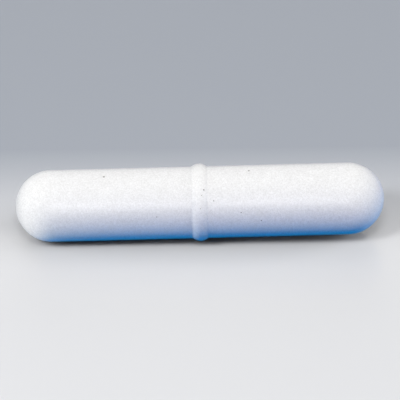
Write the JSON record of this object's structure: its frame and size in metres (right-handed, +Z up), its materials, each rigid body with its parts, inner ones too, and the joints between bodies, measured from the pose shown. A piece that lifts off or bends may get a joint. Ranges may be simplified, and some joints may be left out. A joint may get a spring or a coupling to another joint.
{
  "type": "magnetic stir bar",
  "caption": "Round stir bar with domed ends: a rod magnet sealed in a white moulded plastic jacket, with a low pivot ring round its middle.",
  "frame": {"origin": "centre of the bar, on its axis and in the middle plane of the pivot ring", "axes": "+X along the bar's axis, +Z up, so that the bar lies level on its pivot ring"},
  "size_m": [0.041, 0.0086, 0.0086],
  "materials": {
    "jacket": "matte, waxy white fluoropolymer",
    "magnet": "as cast magnet alloy, dull dark grey"
  },
  "bodies": {
    "root": {"jacket": "jacket", "magnet": "magnet"}
  },
  "joints": []
}
